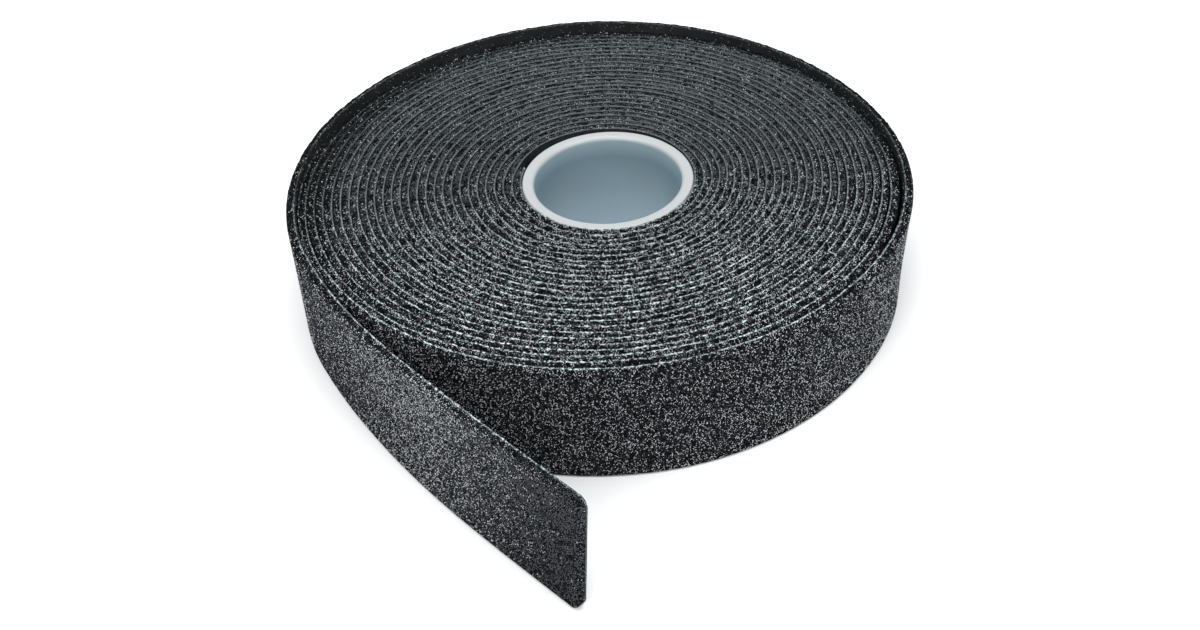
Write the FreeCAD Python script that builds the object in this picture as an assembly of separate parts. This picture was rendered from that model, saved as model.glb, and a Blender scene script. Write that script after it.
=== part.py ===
import FreeCAD, Part
import math
import os

# A roll of towelling grip tape for racket handles, lying flat with its bore upright.
# The tape is wound anticlockwise, seen from above, on a hollow plastic core, and its
# loose end leaves the roll on the left and stands on its edge in front of it.
# Millimetres, +Z up. The origin is on the bore's axis, in the plane that the roll
# rests on, and -Y is the side that the loose end points to.

# ---- tape ----
TAPE_WIDTH = 25.0
LINER_THICKNESS = 0.12          # release liner, on the side that faces the core
BACKING_THICKNESS = 0.28        # ground cloth with its coat of adhesive
PILE_WOUND = 1.20               # loop pile, pressed flat between two wraps
PILE_FREE = 1.55                # loop pile with nothing pressing on it

# ---- core ----
CORE_OUTER_R = 18.0
CORE_INNER_R = 15.5
CORE_MOUTH_ROUND = 0.9          # inner edge of the upper rim
CORE_EDGE_ROUND = 0.4           # outer edges of both rims

# ---- winding ----
TURNS = 26
SEAM_AZIMUTH = 162.0            # where the tape starts on the core, and where it is looser
LEAVING_AZIMUTH = 204.5         # where the loose end leaves the roll
SEAM_PITCH = 1.797              # wrap spacing on the seam's side
FAR_PITCH = 1.638               # wrap spacing on the opposite side
SEAM_SLACK = 0.2                # extra room under the last wrap, on the seam's side
FAR_SLACK = 0.6                 # and on the opposite side

# ---- loose end ----
SEGMENTS = 7
SEGMENT_LENGTH = 12.4
FIRST_TURN = 4.75               # degrees that the first segment curves; the last is straight
HINGE_GAP = 0.08                # clearance of the rounded end of one segment in the next
END_CORNER_ROUND = 2.0

BACKING_FACE = LINER_THICKNESS
PILE_FACE = LINER_THICKNESS + BACKING_THICKNESS
WOUND_THICKNESS = PILE_FACE + PILE_WOUND
FREE_THICKNESS = PILE_FACE + PILE_FREE
HALF_THICKNESS = FREE_THICKNESS / 2
HALF_TURNS = 2 * TURNS
LAST_SWEEP = LEAVING_AZIMUTH - SEAM_AZIMUTH

# Each layer of the tape: its inner face, its outer face where wound, and where free.
LAYERS = {
    "liner": (0.0, BACKING_FACE, BACKING_FACE),
    "backing": (BACKING_FACE, PILE_FACE, PILE_FACE),
    "pile": (PILE_FACE, WOUND_THICKNESS, FREE_THICKNESS),
}


def polar(angle, radius, centre=FreeCAD.Vector()):
    """The point at an angle in degrees and a radius round a centre."""
    turn = math.radians(angle)
    return centre + FreeCAD.Vector(radius * math.cos(turn), radius * math.sin(turn), 0)


def arc(centre, radius, start, end):
    """A circular edge from one angle to another, in degrees, either way round."""
    points = [polar(angle, radius, centre) for angle in (start, (start + end) / 2, end)]
    return Part.Arc(*points).toShape()


def extrude_between(inner_edges, outer_edges):
    """A strip as wide as the tape between two chains of edges that run the same way."""
    first_cap = Part.makeLine(outer_edges[0].valueAt(outer_edges[0].FirstParameter),
                              inner_edges[0].valueAt(inner_edges[0].FirstParameter))
    last_cap = Part.makeLine(inner_edges[-1].valueAt(inner_edges[-1].LastParameter),
                             outer_edges[-1].valueAt(outer_edges[-1].LastParameter))
    outline = Part.Wire(Part.__sortEdges__([first_cap, *inner_edges, last_cap, *outer_edges]))
    return Part.Face(outline).extrude(FreeCAD.Vector(0, 0, TAPE_WIDTH))


# ---- the winding: half circles that meet on the seam's line through the core ----

def seam_distance(half_turn):
    """How far from the bore's axis the tape's inner face crosses the seam's line."""
    pitch, slack = (FAR_PITCH, FAR_SLACK) if half_turn % 2 else (SEAM_PITCH, SEAM_SLACK)
    wound = CORE_OUTER_R + (half_turn // 2) * pitch
    return wound + slack if half_turn > HALF_TURNS - 2 else wound


def wrap_arc(half_turn, start_offset, end_offset):
    """Centre, radius and start angle of one half turn of a face of the tape."""
    start = seam_distance(half_turn) + start_offset
    end = seam_distance(half_turn + 1) + end_offset
    start_angle = SEAM_AZIMUTH + 180 * (half_turn % 2)
    radius = (start + end) / 2
    return polar(start_angle, start - radius), radius, start_angle


def wound_face(wound_offset, free_offset):
    """All the arcs of one face of the wound tape, which thickens in its last turn."""
    edges = []
    for half_turn in range(HALF_TURNS + 1):
        offsets = [free_offset if joint > HALF_TURNS - 2 else wound_offset
                   for joint in (half_turn, half_turn + 1)]
        centre, radius, start_angle = wrap_arc(half_turn, *offsets)
        sweep = LAST_SWEEP if half_turn == HALF_TURNS else 180.0
        edges.append(arc(centre, radius, start_angle, start_angle + sweep))
    return edges


def make_wound_layer(inner, outer_wound, outer_free):
    """One layer of the wound tape, from the core to where the loose end begins."""
    strip = extrude_between(wound_face(inner, inner), wound_face(outer_wound, outer_free))
    return strip.cut(make_hinge_cylinder(0, HALF_THICKNESS + HINGE_GAP)).Solids[0]


# ---- the loose end: short strips hinged to each other ----

def leaving_point():
    """Where the middle of the tape's thickness leaves the roll."""
    centre, radius, _ = wrap_arc(HALF_TURNS, HALF_THICKNESS, HALF_THICKNESS)
    return polar(LEAVING_AZIMUTH, radius, centre)


def segment_turn(index):
    """Degrees that a segment of the loose end curves."""
    return FIRST_TURN * (1 - index / (SEGMENTS - 1))


def hinge_frames():
    """The middle of the tape and its heading in degrees, at each segment's start."""
    frames = [(leaving_point(), LEAVING_AZIMUTH + 90)]
    for index in range(SEGMENTS):
        point, heading = frames[-1]
        turn = segment_turn(index)
        frames.append((point + polar(heading + turn / 2, SEGMENT_LENGTH), heading + turn))
    return frames


def make_hinge_cylinder(index, radius):
    """An upright cylinder on the axis of one hinge of the loose end."""
    point, _ = hinge_frames()[index]
    return Part.makeCylinder(radius, TAPE_WIDTH, point)


def segment_face(index, offset):
    """The edges of one face of a segment, with a short straight lead before its hinge."""
    point, heading = hinge_frames()[index]
    turn = segment_turn(index)
    start = point + polar(heading - 90, offset - HALF_THICKNESS)
    lead = Part.makeLine(start - polar(heading, HALF_THICKNESS), start)
    if turn == 0:
        return [lead, Part.makeLine(start, start + polar(heading, SEGMENT_LENGTH))]
    middle_radius = SEGMENT_LENGTH / (2 * math.sin(math.radians(turn / 2)))
    centre = point + polar(heading + 90, middle_radius)
    radius = middle_radius + offset - HALF_THICKNESS
    return [lead, arc(centre, radius, heading - 90, heading - 90 + turn)]


def make_end_corners(index):
    """The two corners to remove so that a segment's first end is round about its hinge."""
    point, heading = hinge_frames()[index]
    reach = FREE_THICKNESS
    block = Part.makeBox(reach, 2 * reach, TAPE_WIDTH, FreeCAD.Vector(-reach, -reach, 0))
    block.rotate(FreeCAD.Vector(), FreeCAD.Vector(0, 0, 1), heading)
    block.translate(point)
    return block.cut(make_hinge_cylinder(index, HALF_THICKNESS))


def round_free_end(strip):
    """Rounds the two corners of the cut end, seen from the side of the tape."""
    point, heading = hinge_frames()[-1]
    across = polar(heading + 90, 1.0)
    corners = [edge for edge in strip.Edges
               if abs(abs(edge.tangentAt(edge.FirstParameter).dot(across)) - 1) < 1e-6
               and abs((edge.CenterOfMass - point).dot(polar(heading, 1.0))) < 1e-6]
    return strip.makeFillet(END_CORNER_ROUND, corners)


def make_segment_layer(index, inner, outer):
    """One layer of one segment of the loose end."""
    strip = extrude_between(segment_face(index, inner), segment_face(index, outer))
    strip = strip.cut(make_end_corners(index))
    if index == SEGMENTS - 1:
        return round_free_end(strip.Solids[0]).Solids[0]
    return strip.cut(make_hinge_cylinder(index + 1, HALF_THICKNESS + HINGE_GAP)).Solids[0]


# ---- the core ----

def circles_at(solid, radius, height):
    """The circular edges of a solid that have one radius and lie at one height."""
    return [edge for edge in solid.Edges
            if isinstance(edge.Curve, Part.Circle)
            and abs(edge.Curve.Radius - radius) < 1e-6
            and abs(edge.Curve.Center.z - height) < 1e-6]


def make_core():
    """The hollow plastic core: open right through, with a rounded mouth at the top."""
    bore = Part.makeCylinder(CORE_INNER_R, TAPE_WIDTH)
    tube = Part.makeCylinder(CORE_OUTER_R, TAPE_WIDTH).cut(bore)
    tube = tube.makeFillet(CORE_MOUTH_ROUND, circles_at(tube, CORE_INNER_R, TAPE_WIDTH))
    for height in (0, TAPE_WIDTH):
        tube = tube.makeFillet(CORE_EDGE_ROUND, circles_at(tube, CORE_OUTER_R, height))
    return tube.Solids[0]


def make_parts():
    """Every sub-part by its node's name."""
    parts = {"core": make_core()}
    for layer, (inner, outer_wound, outer_free) in LAYERS.items():
        parts[f"wound_{layer}"] = make_wound_layer(inner, outer_wound, outer_free)
        for index in range(SEGMENTS):
            parts[f"loose_end_{index + 1}_{layer}"] = make_segment_layer(index, inner, outer_free)
    return parts


def tape_length():
    """The tape's length along its backing, from its start on the core to its cut end."""
    wound = sum(edge.Length for edge in wound_face(PILE_FACE, PILE_FACE))
    return wound + SEGMENTS * SEGMENT_LENGTH


os.makedirs("parts", exist_ok=True)
for name, shape in make_parts().items():
    shape.exportStep(f"parts/{name}.step")
    print(f"{name}: {shape.Volume:.1f} mm3, valid {shape.isValid()}")
print(f"tape length {tape_length():.0f} mm")
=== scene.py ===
import bpy
import math
import numpy as np
from mathutils import Matrix, Vector


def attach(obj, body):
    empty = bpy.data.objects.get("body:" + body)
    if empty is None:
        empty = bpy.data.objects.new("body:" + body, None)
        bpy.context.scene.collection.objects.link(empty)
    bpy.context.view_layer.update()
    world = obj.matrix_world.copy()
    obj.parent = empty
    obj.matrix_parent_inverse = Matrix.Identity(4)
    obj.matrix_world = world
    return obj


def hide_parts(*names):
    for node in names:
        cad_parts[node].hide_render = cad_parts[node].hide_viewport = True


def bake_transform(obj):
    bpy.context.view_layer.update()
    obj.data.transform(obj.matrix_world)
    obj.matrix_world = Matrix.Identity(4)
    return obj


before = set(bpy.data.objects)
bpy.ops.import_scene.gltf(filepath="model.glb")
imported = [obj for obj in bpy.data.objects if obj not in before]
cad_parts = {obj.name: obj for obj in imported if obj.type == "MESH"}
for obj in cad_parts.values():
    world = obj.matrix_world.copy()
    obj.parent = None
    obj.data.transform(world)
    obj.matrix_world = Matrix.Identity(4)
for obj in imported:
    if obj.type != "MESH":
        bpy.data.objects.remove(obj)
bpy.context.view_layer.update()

# A roll of towelling grip tape on a hollow core, with its loose end standing in front of it.
# The tape is a film, a cloth, and a pile whose yarn loops are real curved tubes.
# Lengths are in millimetres up to the point where a mesh is made, which is in metres.
# Offsets run outwards from the tape's inner face, heights run up from the floor, and
# azimuths are in degrees.
MM = 0.001

# ---- the tape, as in the CAD model ----
TAPE_WIDTH = 25.0
LINER = 0.12                    # thickness of the release liner
PILE_FACE = 0.40                # where the pile starts
FREE = 1.95                     # the tape's thickness, with nothing pressing on its pile
CORE_R = 18.0
TURNS = 26
SEAM_AZIMUTH = 162.0            # where the tape starts on the core
LEAVING_AZIMUTH = 204.5         # where the loose end leaves the roll
SEAM_PITCH, FAR_PITCH = 1.797, 1.638    # wrap spacing, on the seam's side and opposite
SEAM_SLACK, FAR_SLACK = 0.2, 0.6        # extra room under the last wrap, in the same two places
SEGMENTS = 7
SEGMENT_LENGTH = 12.4
FIRST_TURN = 4.75               # degrees that the loose end's first segment curves
END_ROUND = 2.0                 # radius of the cut end's two corners, seen from the side
LAST_HALF_TURN = 2 * TURNS + (LEAVING_AZIMUTH - SEAM_AZIMUTH) / 180

# ---- how the tape is cut into pieces, and how finely each is made ----
GROUPS = (0, 18, 34, 50)        # half turns where one piece of the wound tape ends
HINGE_RADIUS = 65.4             # from the bore's axis to the loose end's first hinge
LEAD_RADIUS = 66.0              # of the tape's curve just before that hinge
WRAP_END = LAST_HALF_TURN - SEGMENT_LENGTH / 2 / (math.pi * HINGE_RADIUS)   # half a segment before
WOUND_LENGTH = 7000             # added to the loose end's lengths, so that no pattern repeats
LINER_STEP, BACKING_STEP, PILE_STEP, FIBRE_STEP = 0.8, 0.27, 0.55, 0.5  # between stations
WRAP_FACE_STEP, FREE_FACE_STEP = 0.5, 0.45      # the pile's, where its outer face shows
FINE_STEPS = 400                # in each half turn, to measure the tape's length
CORNER_STEPS = range(10, 90, 10)        # degrees round the cut end's corners
FAR_FROM_END = 1000.0           # further from the cut end than anything that it changes

# ---- how the real tape strays from the model's upright wraps ----
END_LEAN = 1.1                  # the loose end's top leans back by this, its bottom forward
END_SHIFT = -0.35               # and all of it stands a little nearer to the roll
END_LEAN_REACH = 55.0           # how far past the roll the lean is complete
LEAN_POWER = 1.5                # how soon the lean of the top fades below it
FLARES = ((1.8, -12.0, 38.0), (1.0, 158.0, 35.0))   # the roll widens at the top: how far,
                                # at which azimuth, and how far round it
FLARE_SHARE, FLARE_LAPS = 0.75, 5.0     # what the wraps under the last one have of that
SPREAD = 0.8                    # the last wrap widens at the bottom, in front
SPREAD_AZIMUTH, SPREAD_WIDTH = 285.0, 40.0
RISE = 1.2                      # the last wrap stands higher than the others, at the back
RISE_AZIMUTH, RISE_WIDTH = 95.0, 60.0
SUNK, SUNK_GAP = 1.2, 0.3       # the wraps inside the last one lie lower, with a gap between
SUNK_LAPS = 1.4                 # them, fading over about this many laps, except in front
FRONT_AZIMUTH, FRONT_WIDTH = 270.0, 42.0
PRESSED = 0.38                  # the last wrap's pile is still flat where it is just uncovered,
PRESSED_AZIMUTH, PRESSED_WIDTH = 220.0, 30.0
PRESSED_LAPS = 0.5              # which is more than this many laps before its end
TOP_DROP = 0.70                 # how far the pile's top edge falls away on its outer side
COVERED_DROP, DROP_WIDTH = 0.3, 60      # the share of that between wraps, except in front
BOTTOM_DROP = 0.12              # how far the pile's bottom edge rises on its outer side
DROP_POWER = 2.2                # how late both edges curve away
END_BRINK = 0.8                 # how near the cut end the pile's face turns inwards
BRINK_SHARE = 0.7               # and how far it turns in, as a share of that

# ---- the layers' edges and faces ----
LINER_INSET = 0.12              # from the tape's edges to the film's
CLOTH_TOP, CLOTH_FOOT = 0.10, 0.10      # how far the cloth stands over the edge and the floor
CLOTH_EDGE = ((LINER, 0.25), (0.17, 0.0), (0.36, 0.05), (PILE_FACE, 0.3))   # the cloth's
                                # upper edge: offsets, and how far each lies under its top
CROWN = np.array([0.0, 0.18, 0.38, 0.58, 0.78, 0.93, 1.0])  # the lines across the pile's edges
PILE_CLEARANCE = 0.05           # between the pile and the next wrap
PILE_TOP, PILE_FOOT = 0.02, 0.05        # from the tape's edge, and from the floor, to the pile
FACE_MARGIN = 2.0               # left out when the rows of the pile's face are counted
FACE_DEPTH = 0.10               # from the tips of the face's loops to the face itself
FACE_ROUND, ROUND_POWER = 0.2, 20       # how far its upper and lower edges turn in, how late

# ---- unevenness ----
NOISE_VALUES, NOISE_COLUMN, NOISE_ROW = 4096, 73, 1181  # in a table, and steps through it
# The wraps wander in and out: how far, noise cells in the roll's radius, laps in a cell,
# a place in the noise, and a seed.
WANDERS = ((0.30, 1.9, 5, 20, 11), (0.12, 6, 2.2, 40, 12))
STEADY_START, STEADY_END = 4, 5     # half turns at both ends of the tape that wander less
# Other waves are their height, the size of a noise cell along the tape and across it, and
# a seed. Along an edge, the third number is a place in the noise instead.
LIFT_WAVES = ((0.14, 55, 0.5, 21), (0.08, 55 / 4.3, 3.5, 22))
FRAY_WAVES = ((0.16, 0.8, 0.5, 31), (0.15, 0.5, 0.5, 32))
STRAY_WAVES = ((0.12, 0.9, 0.5, 33),)
FOOT_WAVES = ((0.08, 0.7, 0.5, 34),)
CROWN_WAVES = ((0.17, 0.8, 0.55, 41), (0.10, 0.4, 0.3, 42))
FACE_WAVES = ((0.07, 0.95, 0.95, 43), (0.06, 0.45, 0.45, 44))
SOLE_WAVES = ((0.05, 0.7, 0.5, 45),)
THREAD_WAVES = ((1.0, 2.1, 0.5, 51), (0.6, 0.7, 0.5, 52))

# ---- yarn loops and thread ends ----
# Each size is how high a loop stands and how far its feet are apart, before both vary.
FACE_LOOP, CROWN_LOOP, CUT_LOOP = (0.15, 0.24), (0.19, 0.26), (0.16, 0.30)
THREAD_LOOP, STRAY_LOOP = (0.18, 0.36), (0.16, 0.36)
HEIGHTS, SPANS = (0.55, 1.2), (0.6, 1.3)        # shares of that size
CURLS = (-0.5, 0.5)             # how far a loop bulges to one side, as a share of its span
ARCH_START, ARCH = 0.06, 0.86   # the part of a sine's half wave that a loop follows
LOOP_RINGS = 3                  # rings of points along a loop
YARN_RADII, THREAD_RADII = (0.035, 0.060), (0.030, 0.055)
THREAD_TAPER = (0.9, 1.0, 0.6)  # a thread's radius at each ring, as a share
FACE_ROOT, CROWN_ROOT, CUT_ROOT = 0.14, 0.10, 0.1   # how deep each kind stands in the pile
THREAD_ROOT, STRAY_ROOT = 0.05, 0.15
LOOP_MARGIN = 0.15              # between the face's loops and the tape's edges
FACE_EDGE, FACE_EDGE_DEPTH = 0.9, 0.5   # near the upper edge the face's loops tilt and sink
CROWN_POWER, CROWN_REACH = 1.15, 0.92   # the crown's loops crowd towards the backing
CROWN_TILTS, THREAD_TILTS = (-0.3, 0.5), (-0.5, 0.8)    # inwards, and outwards
THREAD_OFFSETS = (0.17, 0.38)
THREAD_GAPS = 0.9               # how sparse the threads are where the noise is low
CUT_SPILL = 0.1                 # how far the cut end's loops pass the pile's face
CROWN_WIDTH, CUT_WIDTH, STRAY_DEPTH = 1.4, 1.5, 2.6     # of the strips that loops stand on
STRAY_POWER = 1.5               # the stray loops crowd towards the upper edge
JITTER, CROSS_JITTER = 0.12, 0.004      # disorder in the loops' places, along and across
LOWEST_FIBRE = 0.10             # above the floor
MOST_FIBRES = 6000              # in one piece
WOUND_CROWN, OUTER_CROWN = 9.0, 8.0     # loops in a square millimetre
WRAP_FACE, FREE_FACE, CUT_FACE, STRAYS = 11.0, 11.5, 12.0, 2.0
WOUND_THREADS, WRAP_THREADS = 2.4, 5.0  # thread ends in a millimetre of the tape's length
FREE_THREADS, FEWER_THREADS = 6.0, 0.4  # on the loose end's first piece, and fewer on each next

# ---- the shares of pale and grey yarn among the loops, a painted glint and a painted lit copy of the dark yarn; the rest of them are dark ----
FACE_SHARES, CROWN_SHARES, STRAY_SHARES = (0.25, 0.25), (0.39, 0.29), (0.0, 0.18)
# And on the loose end, at three distances in front of the roll's axis, where the pale glints
# peak in the middle and fade at the tip, as painted light. Both shares grow from the floor up,
# as painted light on the upper part.
FREE_PLACES, FREE_PALE, FREE_GREY = (27, 65, 92), (0.12, 0.33, 0.01), (0.30, 0.38, 0.64)
FREE_LIT, FREE_LIT_RISE = 0.7, 0.6      # at the floor, and what is added at the upper edge: painted light, the upper part lit more
BACK_PALE = 0.12                # share of the front's pale yarn that the roll's back has: painted shade
BACK_FACE = 0.6                 # share of both tones that the outer face has there: painted shade
BACK_GREY = 0.8                 # share of the crowns' dark yarn that is grey there: painted light
BACK_START, BACK_END = -0.9, 0.35       # y over the radius, where the front ends and the back's painted light and shade start
RIM_START, RIM_END = 55.25, 61.75       # radii, where the crowns behind darken instead, as painted shade
BRIGHT_THREADS = 0.6            # share of bright threads in front; behind the roll's axis it falls, as painted shade

# ---- where the cloth's painted shade blends in, in metres: at one distance from the axis, and at two y ----
CLOTH_RIM, CLOTH_BACK, CLOTH_TIP = (0.055, 0.0615), (-0.050, 0.010), (-0.096, -0.076)
# And the height over which the core's tones change, as painted light up its inner wall, and how
# uneven that is, in metres too.
CORE_TONES, CORE_WOBBLE = 0.0255, 0.0006

# ---- the camera ----
CAMERA_PLACE = (-3.7, -308.5, 237.4)
CAMERA_AIM = (-3.4, -14.3, 0.0)
CAMERA_ROLL = -3.57             # degrees
CAMERA_LENS, SENSOR = 53.5, 36

# ---- the lights: name, place in metres, size in metres, power and colour ----
LIGHTS = (("key", (-0.55, -0.85, 0.85), 1.0, 8.5, (1.0, 0.99, 0.98)),
          ("fill", (0.8, -0.5, 0.9), 1.0, 5.6, (0.97, 0.99, 1.0)),
          ("top", (0.0, 0.1, 1.3), 1.2, 10, (0.99, 1.0, 1.0)))
WORLD_COLOUR, WORLD_STRENGTH = (0.97, 0.98, 1.0, 1), 0.75
FLOOR_SIZE, FLOOR_HEIGHT = 6, -0.0003   # metres, just under the roll


# ==== small tools ====

def unit(degrees):
    """Unit vectors in the plan at angles in degrees."""
    radians = np.radians(degrees)
    return np.stack([np.cos(radians), np.sin(radians)], -1)


def normalised(vectors):
    """The same vectors, with a length of 1."""
    return vectors / np.linalg.norm(vectors, axis=-1, keepdims=True)


def smooth(share):
    """A share from 0 to 1, with a gentle start and end."""
    return share * share * (3 - 2 * share)


def ease(value, low, high):
    """0 up to one value, 1 from another, and smooth between them."""
    return smooth(np.clip((value - low) / (high - low), 0, 1))


def near(azimuth, middle, width):
    """1 at one azimuth, falling smoothly to 0 away from it. All in degrees."""
    away = (azimuth - middle + 180) % 360 - 180
    return np.exp(-(away / width) ** 2)


def noise(x, y, seed):
    """Smooth random values from -1 to 1 over a plane, with a new value at each whole number."""
    table = np.random.default_rng(seed).uniform(-1, 1, NOISE_VALUES)
    x, y = np.broadcast_arrays(np.asarray(x, float), np.asarray(y, float))
    column, row = np.floor(x).astype(int), np.floor(y).astype(int)
    across, up = smooth(x - column), smooth(y - row)

    def corner(i, j):
        return table[((column + i) * NOISE_COLUMN + (row + j) * NOISE_ROW) % NOISE_VALUES]

    low = corner(0, 0) * (1 - across) + corner(1, 0) * across
    high = corner(0, 1) * (1 - across) + corner(1, 1) * across
    return low * (1 - up) + high * up


def rough(waves, length, across=None):
    """Waves of noise added up, along an edge, or over a surface if given a place across it."""
    return sum(height * noise(length / cell, other if across is None else across / other, seed)
               for height, cell, other, seed in waves)


def make_mesh(name, points, quads, triangles, material):
    """A smooth mesh object from arrays, whose points are in millimetres."""
    quads = np.asarray(quads, int).reshape(-1, 4)
    triangles = np.asarray(triangles, int).reshape(-1, 3)
    corners = np.concatenate([quads.ravel(), triangles.ravel()])
    sizes = np.concatenate([np.full(len(quads), 4), np.full(len(triangles), 3)])
    mesh = bpy.data.meshes.new(name)
    mesh.vertices.add(len(points))
    mesh.vertices.foreach_set("co", (np.asarray(points, float) * MM).ravel())
    mesh.loops.add(len(corners))
    mesh.loops.foreach_set("vertex_index", corners)
    mesh.polygons.add(len(sizes))
    mesh.polygons.foreach_set("loop_start", np.cumsum(sizes) - sizes)
    mesh.polygons.foreach_set("loop_total", sizes)
    mesh.polygons.foreach_set("use_smooth", np.ones(len(sizes), bool))
    mesh.update()
    mesh.materials.append(material)
    piece = bpy.data.objects.new(name, mesh)
    bpy.context.scene.collection.objects.link(piece)
    return piece


# ==== the tape's path ====

class Path:
    """Stations along the tape: where its inner face is, and which way is out from the roll."""

    def __init__(self, inner, outward, length, room, lean, sink, gap, drop, to_end):
        self.inner = inner
        self.outward = outward
        self.length = length        # millimetres from the core, for patterns that don't repeat
        self.lean = lean            # how far out the bottom and the top are, two columns
        self.sink = sink            # how much lower the tape's edge lies
        self.gap = gap              # between this wrap's pile and the next wrap
        self.drop = drop            # how far the pile's top edge falls on its outer side
        self.free = room >= FREE - 0.001    # where nothing presses on the pile
        # How far the edges pull in at the cut end's rounded corners:
        away = np.clip(END_ROUND - to_end, 0, END_ROUND)
        self.corner = END_ROUND - np.sqrt(END_ROUND ** 2 - away ** 2)
        # From this wrap's inner face to the next one's, or to the free pile's face:
        brink = np.clip(1 - to_end / END_BRINK, 0, 1)
        self.room = room - END_BRINK * BRINK_SHARE * (1 - np.sqrt(1 - brink ** 2))

    def along(self):
        """Unit vectors along the tape."""
        return np.stack([-self.outward[:, 1], self.outward[:, 0]], -1)


def seam_distance(half_turn):
    """How far from the bore's axis the tape's inner face crosses the seam's line."""
    odd = half_turn % 2
    wound = CORE_R + (half_turn // 2) * np.where(odd, FAR_PITCH, SEAM_PITCH)
    slack = np.where(odd, FAR_SLACK, SEAM_SLACK)
    return wound + slack * (half_turn > 2 * TURNS - 2)


def inner_face(turns):
    """Points on the wound tape's inner face, and outward normals, at a number of half turns."""
    whole = np.minimum(np.floor(turns).astype(int), 2 * TURNS)
    start, end = seam_distance(whole), seam_distance(whole + 1)
    radius = (start + end) / 2
    start_angle = SEAM_AZIMUTH + 180 * (whole % 2)
    outward = unit(start_angle + 180 * (turns - whole))
    centre = unit(start_angle) * (start - radius)[:, None]
    return centre + outward * radius[:, None], outward


def waviness(turns):
    """How far the wraps wander in or out from their arcs. Neighbours wander nearly together."""
    lap = turns / 2
    ring = unit(lap % 1 * 360)
    wander = sum(far * noise(ring[:, 0] * cells + place, ring[:, 1] * cells + lap / laps, seed)
                 for far, cells, laps, place, seed in WANDERS)
    return ease(turns, 0, STEADY_START) * ease(LAST_HALF_TURN - turns, 0, STEADY_END) * wander


def even_stations(first, last, step):
    """Numbers of half turns from one to another, an even step apart along the tape."""
    fine = np.linspace(first, last, int((last - first) * FINE_STEPS) + 2)
    radius = np.linalg.norm(inner_face(fine)[0], axis=1)
    reach = np.concatenate([[0], np.cumsum(np.diff(fine) * math.pi * radius[:-1])])
    turns = np.interp(np.linspace(0, reach[-1], int(reach[-1] / step) + 2), reach, fine)
    turns[0], turns[-1] = first, last
    return turns


def wound_path(first, last, step):
    """The path of the tape from one number of half turns to another."""
    turns = even_stations(first, last, step)
    inner, outward = inner_face(turns)
    inner = inner + outward * waviness(turns)[:, None]
    beyond, _ = inner_face(turns + 2)
    beyond = beyond + outward * waviness(turns + 2)[:, None]
    laps_left = (LAST_HALF_TURN - turns) / 2
    is_last = laps_left < 1
    room = np.where(is_last, FREE, np.sum((beyond - inner) * outward, 1))
    azimuth = SEAM_AZIMUTH + 180 * turns
    flare = sum(far * near(azimuth, middle, width) for far, middle, width in FLARES)
    flare = flare * np.where(is_last, 1, FLARE_SHARE * np.exp((1 - laps_left) / FLARE_LAPS))
    spread = SPREAD * near(azimuth, SPREAD_AZIMUTH, SPREAD_WIDTH) * is_last
    rise = RISE * near(azimuth, RISE_AZIMUTH, RISE_WIDTH) * is_last
    aside = 1 - near(azimuth, FRONT_AZIMUTH, FRONT_WIDTH)
    under = ~is_last * np.exp(-(laps_left - 1) / SUNK_LAPS) * aside
    pressed = PRESSED * near(azimuth, PRESSED_AZIMUTH, PRESSED_WIDTH)
    pressed = pressed * (is_last & (laps_left > PRESSED_LAPS))
    covered = COVERED_DROP + (1 - COVERED_DROP) * near(azimuth, FRONT_AZIMUTH, DROP_WIDTH)
    return Path(inner, outward, length=math.pi * turns * (CORE_R + turns * SEAM_PITCH / 4),
                room=room, lean=np.stack([spread, flare], 1), sink=SUNK * under - rise,
                gap=SUNK_GAP * under + pressed, drop=TOP_DROP * np.where(is_last, 1, covered),
                to_end=np.full(len(turns), FAR_FROM_END))


def loose_station(start, distance):
    """The middle of the loose end and its heading, at a distance past the roll."""
    point, heading = start, LEAVING_AZIMUTH + 90
    if distance < 0:
        turn = math.degrees(distance / LEAD_RADIUS)
        point = point + unit(heading + turn / 2) * distance
        heading += turn
    for index in range(SEGMENTS):
        share = min(max(distance / SEGMENT_LENGTH - index, 0), 1)
        turn = FIRST_TURN * (1 - index / (SEGMENTS - 1)) * share
        point = point + unit(heading + turn / 2) * SEGMENT_LENGTH * share
        heading += turn
    return point, heading


def loose_path(first, last, step):
    """The path of the loose end, from one distance past the roll to another."""
    face, leaving = inner_face(np.array([LAST_HALF_TURN]))
    start = face[0] + leaving[0] * FREE / 2
    distance = np.linspace(first, last, max(2, int(round((last - first) / step)) + 1))
    to_end = SEGMENTS * SEGMENT_LENGTH - last
    if to_end < 1e-6:
        corner = last - END_ROUND * (1 - np.sin(np.radians(CORNER_STEPS)))
        distance = np.sort(np.concatenate([distance, corner]))
    inner, outward = [], []
    for point, heading in (loose_station(start, place) for place in distance):
        outward.append(unit(heading - 90))
        inner.append(point - outward[-1] * FREE / 2)
    full_lean = np.array([END_SHIFT + END_LEAN, END_SHIFT - END_LEAN])
    none = np.zeros(len(distance))
    return Path(np.array(inner), np.array(outward), length=distance + WOUND_LENGTH,
                room=none + FREE, lean=ease(distance, 0, END_LEAN_REACH)[:, None] * full_lean,
                sink=none, gap=none, drop=none + TOP_DROP, to_end=to_end + last - distance)


# ==== the tape's three layers ====

def edge_lift(path):
    """How far the tape's edge stands above or below the roll's flat side, along its length."""
    return rough(LIFT_WAVES, path.length) - path.sink - path.corner


def leaned(lean, offsets, heights):
    """Offsets from the inner face, with the tape's lean at those heights added."""
    share = np.clip(heights / TAPE_WIDTH, 0, 1)
    return offsets + lean[..., 0] * (1 - share) + lean[..., 1] * share ** LEAN_POWER


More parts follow.
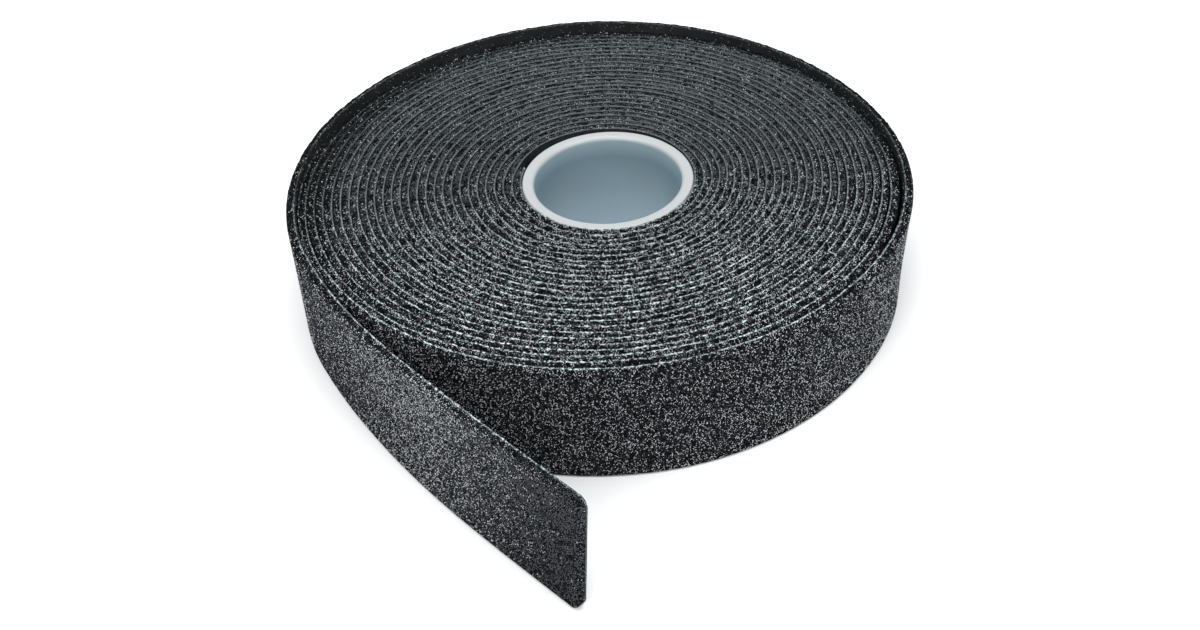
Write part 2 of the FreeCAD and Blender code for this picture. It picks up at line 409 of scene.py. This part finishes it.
def sweep(name, path, offsets, heights, material):
    """A closed strip along a path. Each column of offsets and heights is one line along it."""
    count, lines = offsets.shape
    offsets = leaned(path.lean[:, None], offsets, heights)
    flat = path.inner[:, None] + path.outward[:, None] * offsets[..., None]
    points = np.concatenate([flat, heights[..., None]], -1)
    index = np.arange(count * lines).reshape(count, lines)
    here, there = index[:-1], index[1:]
    quads = np.stack([here, np.roll(here, -1, 1), np.roll(there, -1, 1), there], -1)
    ends = points[[0, -1]].mean(1)
    first, last = count * lines, count * lines + 1
    cap = [np.stack([np.full(lines, first), np.roll(index[0], -1), index[0]], -1),
           np.stack([np.full(lines, last), index[-1], np.roll(index[-1], -1)], -1)]
    return make_mesh(name, np.concatenate([points.reshape(-1, 3), ends]),
                     quads, np.concatenate(cap), material)


def make_liner(name, path, material):
    """The smooth film on the tape's inner face."""
    top, bottom = TAPE_WIDTH - LINER_INSET + edge_lift(path), LINER_INSET + path.corner
    heights = np.stack([bottom, top, top, bottom], 1)
    offsets = np.zeros_like(heights) + np.array([0.0, 0.0, LINER, LINER])
    return sweep(name, path, offsets, heights, material)


def make_backing(name, path, material):
    """The ground cloth, whose cut edges fray."""
    edge_offsets, below = np.array(CLOTH_EDGE).T
    top = TAPE_WIDTH + CLOTH_TOP + edge_lift(path) + rough(FRAY_WAVES, path.length)
    bottom = CLOTH_FOOT + rough(FOOT_WAVES, path.length) + path.corner
    heights = np.column_stack([bottom, top[:, None] - below, bottom])
    offsets = np.zeros_like(heights) + np.array([LINER, *edge_offsets, PILE_FACE])
    offsets[:, 2:4] += rough(STRAY_WAVES, path.length)[:, None]
    return sweep(name, path, offsets, heights, material)


def pile_crown(path):
    """Offsets and heights of the pile's top edge, from the backing outwards."""
    thick = path.room - PILE_FACE - path.gap - np.where(path.free, 0.0, PILE_CLEARANCE)
    offsets = PILE_FACE + thick[:, None] * CROWN
    drop = path.drop[:, None] * CROWN ** DROP_POWER
    bumps = rough(CROWN_WAVES, path.length[:, None], offsets)
    return offsets, TAPE_WIDTH - PILE_TOP + edge_lift(path)[:, None] - drop + bumps


def pile_face(path, top, bottom, step):
    """Offsets and heights of the pile's outer face, between its top and bottom edges."""
    level = np.linspace(0, 1, int((TAPE_WIDTH - FACE_MARGIN) / step))
    heights = top * (1 - level) + bottom * level
    puff = rough(FACE_WAVES, path.length[:, None], heights)
    turned_in = FACE_ROUND * (2 * np.abs(level - 0.5)) ** ROUND_POWER
    return (path.room - path.gap)[:, None] - FACE_DEPTH + puff - turned_in, heights


def make_pile(name, path, material, face_step=None):
    """The loop pile. With a face step, its outer face is modelled too, not only its edges."""
    offsets, top = pile_crown(path)
    bottom = PILE_FOOT + BOTTOM_DROP * CROWN ** DROP_POWER + path.corner[:, None]
    bottom = bottom + rough(SOLE_WAVES, path.length[:, None], offsets)
    heights, across = [bottom[:, :1], top], [offsets[:, :1], offsets]
    if face_step:
        face_offsets, face_heights = pile_face(path, top[:, -1:], bottom[:, -1:], face_step)
        heights.append(face_heights)
        across.append(face_offsets)
    heights.append(bottom[:, :0:-1])
    across.append(offsets[:, :0:-1])
    return sweep(name, path, np.concatenate(across, 1), np.concatenate(heights, 1), material)


# ==== yarn loops and thread ends ====

UP = np.array([0.0, 0.0, 1.0])
GOLDEN = (math.sqrt(5) - 1) / 2


def tubes(name, centres, side, radius, material):
    """Thin three-sided tubes along rows of centre points, one tube in each row."""
    count, rings, _ = centres.shape
    heading = np.gradient(centres, axis=1)
    heading /= np.linalg.norm(heading, axis=2, keepdims=True) + 1e-9
    first = np.cross(heading, side[:, None])
    first /= np.linalg.norm(first, axis=2, keepdims=True) + 1e-9
    second = np.cross(heading, first)
    turn = np.radians([90, 210, 330])
    ring = first[:, :, None] * np.cos(turn)[:, None] + second[:, :, None] * np.sin(turn)[:, None]
    points = centres[:, :, None] + ring * radius[..., None, None]
    index = np.arange(count * rings * 3).reshape(count, rings, 3)
    here, there = index[:, :-1], index[:, 1:]
    quads = np.stack([here, np.roll(here, -1, 2), np.roll(there, -1, 2), there], -1)
    caps = np.concatenate([index[:, 0, ::-1], index[:, -1]])
    return make_mesh(name, points.reshape(-1, 3), quads, caps, material)


def loops(rng, roots, out, along, height, span):
    """Centre lines of curly yarn loops that stand out from their roots and bend back."""
    count = len(roots)
    across = np.cross(out, along)
    turn = rng.uniform(0, 2 * math.pi, (count, 1))
    lean = along * np.cos(turn) + across * np.sin(turn)
    side = np.cross(out, lean)
    t = np.linspace(0, 1, LOOP_RINGS)[None, :, None]
    tall = height * rng.uniform(*HEIGHTS, (count, 1, 1))
    wide = span * rng.uniform(*SPANS, (count, 1, 1))
    curl = wide * rng.uniform(*CURLS, (count, 1, 1))
    rise = np.sin(math.pi * (ARCH_START + ARCH * t)) * tall
    swing = np.sin(t * math.pi)
    lines = roots[:, None] + out[:, None] * rise + lean[:, None] * (t - 0.5) * wide
    return lines + side[:, None] * swing * curl, side


def at(path, where, offset, height):
    """Points of the tape at fractional stations, with outward and lengthwise unit vectors."""
    low = where.astype(int)
    share = (where - low)[:, None]

    def between(values):
        return values[low] * (1 - share) + values[low + 1] * share

    outward = between(path.outward)
    flat = between(path.inner) + outward * leaned(path.lean[low], offset, height)[:, None]
    zero = np.zeros((len(where), 1))
    along = np.concatenate([between(path.along()), zero], 1)
    return np.concatenate([flat, height[:, None]], 1), np.concatenate([outward, zero], 1), along


def stations(places, known):
    """Fractional stations at some places along a path, from the place of every station."""
    found = np.interp(places, known, np.arange(len(known)))
    return np.minimum(found, len(known) - 1.001)


def spots(rng, path, count):
    """Fractional stations in order along a path, and a value from 0 to 1 for each.

    Together they cover the tape evenly, like stitches, with only a little disorder.
    """
    steps = np.linalg.norm(np.diff(path.inner, axis=0), axis=1)
    reach = np.concatenate([[0], np.cumsum(steps)])
    place = reach[-1] * (np.arange(count) + 0.5) / count
    place = np.clip(place + rng.uniform(-JITTER, JITTER, count), 0, reach[-1])
    across = (np.arange(count) * GOLDEN + rng.uniform(-CROSS_JITTER, CROSS_JITTER, count)) % 1
    return stations(place, reach), across


def tilted_up(rng, outward, tilts):
    """Unit vectors that point up, tilted in or out by random amounts."""
    return normalised(UP + outward * rng.uniform(*tilts, (len(outward), 1)))


def face_fibres(rng, path, count):
    """Loops on the tape's outer face, which turn up and sink in at its upper edge."""
    where, up = spots(rng, path, count)
    station = where.astype(int)
    corner = path.corner[station]
    height = up * (TAPE_WIDTH - 2 * LOOP_MARGIN - 2 * corner) + LOOP_MARGIN + corner
    near_edge = np.clip((height + corner - TAPE_WIDTH + FACE_EDGE) / FACE_EDGE, 0, 1)
    face = (path.room - path.gap)[station]
    offset = face - FACE_ROOT - FACE_EDGE_DEPTH * near_edge ** 2
    roots, outward, along = at(path, where, offset, height)
    return loops(rng, roots, normalised(outward + UP * near_edge[:, None]), along, *FACE_LOOP)


def cut_fibres(rng, path, count):
    """Loops that cover the pile where the tape is cut off."""
    height = rng.uniform(LOOP_MARGIN, TAPE_WIDTH - LOOP_MARGIN, count)
    inside = np.minimum(height, TAPE_WIDTH - height)
    back = END_ROUND - np.sqrt(END_ROUND ** 2 - np.clip(END_ROUND - inside, 0, None) ** 2)
    where = stations(path.length[-1] - back, path.length)
    offset = rng.uniform(PILE_FACE, path.room[-1] + CUT_SPILL, count)
    roots, outward, along = at(path, where, offset, height)
    return loops(rng, roots - along * CUT_ROOT, along, outward, *CUT_LOOP)


def crown_fibres(rng, path, count):
    """Loops on the upper edge of the pile, fewer and lower towards its outer side."""
    where, across = spots(rng, path, count)
    station = where.astype(int)
    across = across ** CROWN_POWER
    thick = path.room[station] - path.gap[station] - PILE_FACE
    drop = path.drop[station] * across ** DROP_POWER
    roots, outward, along = at(path, where, PILE_FACE + thick * across * CROWN_REACH,
                               TAPE_WIDTH - CROWN_ROOT + edge_lift(path)[station] - drop)
    return loops(rng, roots, tilted_up(rng, outward, CROWN_TILTS), along, *CROWN_LOOP)


def thread_ends(rng, path, count):
    """Short pale ends of thread that stand up from the cut edge of the backing, in clumps."""
    where, _ = spots(rng, path, 2 * count)
    clump = rough(THREAD_WAVES, path.length[where.astype(int)])
    where = where[clump > rng.uniform(-THREAD_GAPS, THREAD_GAPS, 2 * count)]
    offset = rng.uniform(*THREAD_OFFSETS, len(where))
    height = TAPE_WIDTH - THREAD_ROOT + edge_lift(path)[where.astype(int)]
    roots, outward, along = at(path, where, offset, height)
    return loops(rng, roots, tilted_up(rng, outward, THREAD_TILTS), along, *THREAD_LOOP)


def stray_fibres(rng, path, count):
    """Loops of the wrap underneath that cling to the film, near its upper edge."""
    where, up = spots(rng, path, count)
    top = TAPE_WIDTH - STRAY_ROOT + edge_lift(path)[where.astype(int)]
    height = top - STRAY_DEPTH * up ** STRAY_POWER
    roots, outward, along = at(path, where, np.zeros(count), height)
    return loops(rng, roots, -outward, along, *STRAY_LOOP)


# ==== materials: their lengths are in metres, and noise is in cells per metre ====

def new_material(name, roughness, specular=0.5):
    """A Principled material, with its node tree's nodes and links."""
    material = bpy.data.materials.new(name)
    material.use_nodes = True
    nodes, links = material.node_tree.nodes, material.node_tree.links
    shader = nodes["Principled BSDF"]
    shader.inputs["Roughness"].default_value = roughness
    shader.inputs["Specular IOR Level"].default_value = specular
    return material, nodes, links, shader


def add_noise(nodes, links, cells_per_metre, detail):
    """A noise texture in the object's own coordinates."""
    place = nodes.new("ShaderNodeTexCoord")
    texture = nodes.new("ShaderNodeTexNoise")
    texture.inputs["Scale"].default_value = cells_per_metre
    texture.inputs["Detail"].default_value = detail
    links.new(place.outputs["Object"], texture.inputs["Vector"])
    return texture.outputs["Fac"]


def add_ramp(nodes, links, value, stops):
    """A colour ramp over a value. Each stop is a position and a colour."""
    ramp = nodes.new("ShaderNodeValToRGB")
    elements = ramp.color_ramp.elements
    while len(elements) < len(stops):
        elements.new(0.5)
    for element, (position, colour) in zip(elements, stops):
        element.position = position
        element.color = (*colour, 1)
    links.new(value, ramp.inputs["Fac"])
    return ramp.outputs["Color"]


def add_bump(nodes, links, value, shader, depth, strength=1.0):
    """Relief on a shader's surface, from a value and a depth."""
    bump = nodes.new("ShaderNodeBump")
    bump.inputs["Strength"].default_value = strength
    bump.inputs["Distance"].default_value = depth
    links.new(value, bump.inputs["Height"])
    links.new(bump.outputs["Normal"], shader.inputs["Normal"])


def add_place(nodes, links):
    """The place in the object's own coordinates, in three outputs: X, Y and Z."""
    place = nodes.new("ShaderNodeTexCoord")
    split = nodes.new("ShaderNodeSeparateXYZ")
    links.new(place.outputs["Object"], split.inputs["Vector"])
    return split.outputs


def add_blend(nodes, links, measure, low_colour, high_colour, low, high):
    """One colour up to a first value of a measure, another from a second one."""
    share = nodes.new("ShaderNodeMapRange")
    share.interpolation_type = "SMOOTHSTEP"
    share.inputs["From Min"].default_value = low
    share.inputs["From Max"].default_value = high
    links.new(measure, share.inputs["Value"])
    mix = nodes.new("ShaderNodeMix")
    mix.data_type = "RGBA"
    factor, colours = mix.inputs["Factor"], [s for s in mix.inputs if s.type == "RGBA"]
    links.new(share.outputs["Result"], factor)
    links.new(low_colour, colours[0])
    links.new(high_colour, colours[1])
    return next(s for s in mix.outputs if s.type == "RGBA")


def pile_material():
    """Dark towelling between its loops, nearly black in the hollows and greyer on the swellings: the
    darkening in the hollows is painted shade.
    """
    material, nodes, links, shader = new_material("pile_ground", roughness=0.95, specular=0.04)
    value = add_noise(nodes, links, cells_per_metre=1500, detail=4)
    # Painted shade: the noise that makes the bump's hollows also makes the colour darker there.
    colour = add_ramp(nodes, links, value,
                      [(0.40, (0.0010, 0.0011, 0.0014)), (0.54, (0.0035, 0.0040, 0.0045)),
                       (0.66, (0.018, 0.020, 0.022))])
    links.new(colour, shader.inputs["Base Color"])
    add_bump(nodes, links, value, shader, depth=0.0004)
    return material


def yarn_material(name, colour, roughness, specular):
    """One tone of the pile's yarn. Its fine fibres make it rough and a little glossy. The pile is
    one dark yarn: its grey tone is a painted lit copy of it, and its pale tone a painted glint.
    """
    material, nodes, links, shader = new_material(name, roughness, specular)
    shader.inputs["Base Color"].default_value = (*colour, 1)
    fuzz = add_noise(nodes, links, cells_per_metre=9000, detail=2)
    add_bump(nodes, links, fuzz, shader, depth=0.00004)
    return material


def backing_material():
    """Ground cloth with a fine weave, pale grey-green in front of the roll.

    It is darker behind the roll's axis, and darker still at the rim there and at the loose
    end's tip: all three are painted shade.
    """
    material, nodes, links, shader = new_material("ground_cloth", roughness=0.9, specular=0.2)
    value = add_noise(nodes, links, cells_per_metre=1900, detail=3)
    front = add_ramp(nodes, links, value,
                     [(0.42, (0.010, 0.012, 0.013)), (0.50, (0.130, 0.160, 0.165)),
                      (0.60, (0.60, 0.71, 0.72))])
    # Painted shade: darker tones behind the roll's axis, at its rim there, and at the loose end's
    # tip.
    back = add_ramp(nodes, links, value,
                    [(0.35, (0.055, 0.066, 0.069)), (0.65, (0.130, 0.156, 0.162))])
    rim = add_ramp(nodes, links, value,
                   [(0.35, (0.008, 0.010, 0.011)), (0.65, (0.030, 0.035, 0.037))])
    tip = add_ramp(nodes, links, value,
                   [(0.35, (0.020, 0.024, 0.025)), (0.65, (0.130, 0.153, 0.158))])
    place = add_place(nodes, links)
    flat = nodes.new("ShaderNodeCombineXYZ")
    links.new(place["X"], flat.inputs["X"])
    links.new(place["Y"], flat.inputs["Y"])
    radius = nodes.new("ShaderNodeVectorMath")
    radius.operation = "LENGTH"
    links.new(flat.outputs["Vector"], radius.inputs[0])
    behind = add_blend(nodes, links, radius.outputs["Value"], back, rim, *CLOTH_RIM)
    roll = add_blend(nodes, links, place["Y"], front, behind, *CLOTH_BACK)
    colour = add_blend(nodes, links, place["Y"], tip, roll, *CLOTH_TIP)
    links.new(colour, shader.inputs["Base Color"])
    add_bump(nodes, links, value, shader, depth=0.0002)
    return material


def liner_material():
    """A satin film, slightly uneven from being wound against the pile."""
    material, nodes, links, shader = new_material("liner_film", roughness=0.55, specular=0.1)
    value = add_noise(nodes, links, cells_per_metre=260, detail=4)
    colour = add_ramp(nodes, links, value,
                      [(0.3, (0.0015, 0.0017, 0.002)), (0.7, (0.006, 0.0066, 0.007))])
    links.new(colour, shader.inputs["Base Color"])
    add_bump(nodes, links, value, shader, depth=0.00025)
    return material


def core_material():
    """Milky plastic: white at its upper rim, and darker where the dark tape shows through. Up the
    inner wall it is lighter low down, darker higher up and paler again just under the rim: painted
    light in the bore, with a painted sheen under the rim.
    """
    material, nodes, links, shader = new_material("milky_plastic", roughness=0.32)
    shader.inputs["Subsurface Weight"].default_value = 0.25
    shader.inputs["Subsurface Scale"].default_value = 0.002
    mottle = add_noise(nodes, links, cells_per_metre=160, detail=4)
    wobble = nodes.new("ShaderNodeMath")
    wobble.operation = "MULTIPLY_ADD"
    wobble.inputs[1].default_value = CORE_WOBBLE
    links.new(mottle, wobble.inputs[0])
    links.new(add_place(nodes, links)["Z"], wobble.inputs[2])
    level = nodes.new("ShaderNodeMapRange")
    level.inputs["From Max"].default_value = CORE_TONES
    links.new(wobble.outputs[0], level.inputs["Value"])
    # Painted light up the inner wall, and a painted sheen just under the rim; the last stop is the
    # rim's own white.
    colour = add_ramp(nodes, links, level.outputs["Result"],
                      [(0.10, (0.39, 0.51, 0.57)), (0.50, (0.225, 0.305, 0.350)),
                       (0.80, (0.150, 0.217, 0.253)), (0.94, (0.24, 0.33, 0.365)),
                       (0.982, (0.385, 0.405, 0.410))])
    links.new(colour, shader.inputs["Base Color"])
    add_bump(nodes, links, mottle, shader, depth=0.0002, strength=0.5)
    return material


def floor_material():
    """A pale matt floor, very faintly clouded."""
    material, nodes, links, shader = new_material("pale_floor", roughness=0.9, specular=0.1)
    clouds = add_noise(nodes, links, cells_per_metre=3, detail=2)
    colour = add_ramp(nodes, links, clouds,
                      [(0.3, (0.90, 0.90, 0.90)), (0.7, (0.92, 0.92, 0.92))])
    links.new(colour, shader.inputs["Base Color"])
    return material


PILE = pile_material()
BACKING = backing_material()
FILM = liner_material()
# Dark is the yarn's own colour; grey is a painted lit copy of it and pale is a painted glint.
YARNS = {"dark": yarn_material("yarn_dark", (0.012, 0.0135, 0.016), roughness=0.7, specular=0.06),
         "grey": yarn_material("yarn_grey_lit", (0.160, 0.173, 0.191), roughness=0.6, specular=0.2),
         "pale": yarn_material("yarn_pale_glint", (0.90, 0.94, 0.98), roughness=0.5, specular=0.5)}
# One pale thread: the dim tone is its painted shaded copy.
THREADS = {"dim": yarn_material("thread_dim", (0.17, 0.21, 0.215), roughness=0.7, specular=0.2),
           "bright": yarn_material("thread_bright", (0.70, 0.82, 0.83), roughness=0.7, specular=0.3)}


# ==== the pieces ====

def finish_piece(piece, nodes, place):
    """Hides the CAD nodes that a piece replaces, and puts the piece on its body; given a hinge's
    bodies instead, it only fixes the piece's place in the world.
    """
    if nodes:
        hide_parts(*nodes)
    if isinstance(place, str):
        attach(piece, place)
    else:
        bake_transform(piece)


def front_light_share(lines):
    """What is left of the pale yarn's share, a painted glint, where each loop is: 1 in front of the
    roll, less behind its axis as painted shade.
    """
    place = lines[:, 0, :2]
    behind = place[:, 1] / np.linalg.norm(place, axis=1)
    return 1 - (1 - BACK_PALE) * ease(behind, BACK_START, BACK_END)


def pick_tones(rng, kind, path, lines, shares):
    """Which loops have each tone of yarn. Without shares, the loose end's are used."""
    pick = rng.uniform(0, 1, len(lines))
    front = front_light_share(lines)
    if shares is None:
        # Painted light: the loose end's loops are paler towards its upper edge and in the middle of
        # its length.
        lit = FREE_LIT + FREE_LIT_RISE * lines[:, 0, 2] / TAPE_WIDTH
        shares = [np.interp(-lines[:, 0, 1], FREE_PLACES, tone) * lit
                  for tone in (FREE_PALE, FREE_GREY)]
    both = shares[0] + shares[1]
    # Behind the roll's axis the crowns' dark loops turn grey as painted light, and near the rim they
    # darken as painted shade.
    if kind is crown_fibres:
        radius = np.linalg.norm(lines[:, 0, :2], axis=1)
        rim = 1 if path.free.all() else ease(radius, RIM_START, RIM_END)
        both = both + (1 - front) * ((1 - rim) * BACK_GREY * (1 - both) - rim * both)
    # Painted shade: behind the roll's axis the outer face has fewer pale and grey loops.
    elif kind is face_fibres:
        both = both * (BACK_FACE + (1 - BACK_FACE) * front)
    pale = pick < shares[0] * front
    grey = ~pale & (pick < both)
    return {"pale": pale, "grey": grey, "dark": ~pale & ~grey}


def add_fibres(name, kind, rng, path, count, place, shares):
    """The loops of one stretch of pile, in three tones of yarn."""
    pieces = []
    lines, side = kind(rng, path, count)
    lines[..., 2] = np.maximum(lines[..., 2], LOWEST_FIBRE)
    radius = rng.uniform(*YARN_RADII, (count, 1)) * np.ones(LOOP_RINGS)
    for tone, chosen in pick_tones(rng, kind, path, lines, shares).items():
        if not chosen.any():
            continue
        parts = math.ceil(chosen.sum() / MOST_FIBRES)
        batches = zip(*(np.array_split(rows[chosen], parts) for rows in (lines, side, radius)))
        for number, batch in enumerate(batches, 1):
            pieces.append(tubes(f"{name}_{tone}_{number}", *batch, YARNS[tone]))
            finish_piece(pieces[-1], [], place)
    return pieces


def add_threads(name, rng, path, count, place):
    """The frayed thread ends along the backing's upper edge, in two tones: the dim one is a painted
    shaded copy of the bright one.
    """
    pieces = []
    lines, side = thread_ends(rng, path, count)
    # Painted shade: fewer threads of the loose end are kept, and fewer of all threads are bright, as
    # the front's light share falls towards the back.
    if path.free.all():
        kept = rng.uniform(0, 1, len(lines)) < front_light_share(lines)
        lines, side = lines[kept], side[kept]
    radius = rng.uniform(*THREAD_RADII, (len(lines), 1)) * np.array(THREAD_TAPER)
    bright = rng.uniform(0, 1, len(lines)) < BRIGHT_THREADS * front_light_share(lines)
    for tone, chosen in (("bright", bright), ("dim", ~bright)):
        pieces.append(tubes(f"{name}_{tone}", lines[chosen], side[chosen], radius[chosen],
                            THREADS[tone]))
        finish_piece(pieces[-1], [], place)
    return pieces


def add_tape(name, make_path, face_step, nodes, place, fibres, threads, seed):
    """The tape's layers, loops and threads along one stretch of its path.

    Each kind of fibres has its number in a square millimetre and its shares of pale and grey
    yarn. Threads are the number in a millimetre of the tape's length.
    """
    rng = np.random.default_rng(seed)
    liner = make_liner(f"{name}_liner", make_path(LINER_STEP), FILM)
    backing = make_backing(f"{name}_backing", make_path(BACKING_STEP), BACKING)
    pile = make_pile(f"{name}_pile", make_path(face_step or PILE_STEP), PILE, face_step)
    path = make_path(FIBRE_STEP)
    length = np.linalg.norm(np.diff(path.inner, axis=0), axis=1).sum()
    areas = {face_fibres: length * TAPE_WIDTH, crown_fibres: length * CROWN_WIDTH,
             cut_fibres: TAPE_WIDTH * CUT_WIDTH, stray_fibres: length * STRAY_DEPTH}
    loops_on_it = []
    for kind, density, shares in fibres:
        loops_on_it += add_fibres(f"{name}_{kind.__name__}", kind, rng, path,
                                  int(areas[kind] * density), place, shares)
    threads_on_it = add_threads(f"{name}_threads", rng, path, int(length * threads), place)
    for layer, piece, others in (("liner", liner, []), ("backing", backing, threads_on_it),
                                 ("pile", pile, loops_on_it)):
        finish_piece(piece, [f"{node}_{layer}" for node in nodes], place)


def hinge_place(index):
    """The two bodies at one of the loose end's hinges, and where they blend together."""
    middle = (index + 0.5) * SEGMENT_LENGTH
    path = loose_path(middle - SEGMENT_LENGTH, middle, SEGMENT_LENGTH)
    points = path.inner + path.outward * FREE / 2
    start, end = [(x * MM, y * MM, TAPE_WIDTH / 2 * MM) for x, y in points]
    before = f"loose_end_{index}" if index else "roll"
    return before, f"loose_end_{index + 1}", start, end


for number, (first, last) in enumerate(zip(GROUPS, GROUPS[1:]), 1):
    add_tape(f"wound_{number}", lambda step, a=first, b=last: wound_path(a, b, step),
             face_step=None, nodes=["wound"] if number == 1 else [], place="roll",
             fibres=[(crown_fibres, WOUND_CROWN, CROWN_SHARES)], threads=WOUND_THREADS,
             seed=number)

add_tape("last_wrap", lambda step: wound_path(GROUPS[-1], WRAP_END, step),
         face_step=WRAP_FACE_STEP, nodes=[], place="roll",
         fibres=[(crown_fibres, OUTER_CROWN, CROWN_SHARES), (face_fibres, WRAP_FACE, FACE_SHARES),
                 (stray_fibres, STRAYS, STRAY_SHARES)], threads=WRAP_THREADS, seed=10)

for index in range(SEGMENTS):
    first = (index - 0.5) * SEGMENT_LENGTH
    last = first + SEGMENT_LENGTH
    fibres = [(crown_fibres, OUTER_CROWN, None), (face_fibres, FREE_FACE, None)]
    if index == SEGMENTS - 1:
        last = SEGMENTS * SEGMENT_LENGTH
        fibres.append((cut_fibres, CUT_FACE, None))
    add_tape(f"free_{index + 1}", lambda step, a=first, b=last: loose_path(a, b, step),
             face_step=FREE_FACE_STEP, nodes=[f"loose_end_{index + 1}"],
             place=hinge_place(index), fibres=fibres,
             threads=FREE_THREADS - FEWER_THREADS * index, seed=20 + index)

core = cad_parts["core"]
core.data.materials.clear()
core.data.materials.append(core_material())


# ==== floor, lights and camera ====

def add_area_light(name, place, size, power, colour):
    """A round soft light that points at the origin."""
    light = bpy.data.lights.new(name, "AREA")
    light.shape = "DISK"
    light.size = size
    light.energy = power
    light.color = colour
    lamp = bpy.data.objects.new(name, light)
    bpy.context.scene.collection.objects.link(lamp)
    lamp.location = place
    lamp.rotation_euler = (-Vector(place)).to_track_quat("-Z", "Y").to_euler()


def set_up_studio():
    """The floor, an even glow from all round, and the three lights."""
    bpy.ops.mesh.primitive_plane_add(size=FLOOR_SIZE, location=(0, 0, FLOOR_HEIGHT))
    floor = bpy.context.object
    floor.name = "floor"
    floor.data.materials.append(floor_material())
    world = bpy.data.worlds.new("studio")
    bpy.context.scene.world = world
    world.use_nodes = True
    background = world.node_tree.nodes["Background"]
    background.inputs["Color"].default_value = WORLD_COLOUR
    background.inputs["Strength"].default_value = WORLD_STRENGTH
    for light in LIGHTS:
        add_area_light(*light)
    bpy.context.scene.view_settings.view_transform = "Standard"


def set_up_camera():
    """The camera, turned a little about its line of sight."""
    lens = bpy.data.cameras.new("camera")
    lens.lens = CAMERA_LENS
    lens.sensor_width = SENSOR
    lens.clip_start = 0.01
    camera = bpy.data.objects.new("camera", lens)
    bpy.context.scene.collection.objects.link(camera)
    place, aim = Vector(CAMERA_PLACE) * MM, Vector(CAMERA_AIM) * MM
    look = (aim - place).to_track_quat("-Z", "Y").to_matrix().to_4x4()
    roll = Matrix.Rotation(math.radians(CAMERA_ROLL), 4, "Z")
    camera.matrix_world = Matrix.Translation(place) @ look @ roll
    bpy.context.scene.camera = camera


set_up_studio()
set_up_camera()
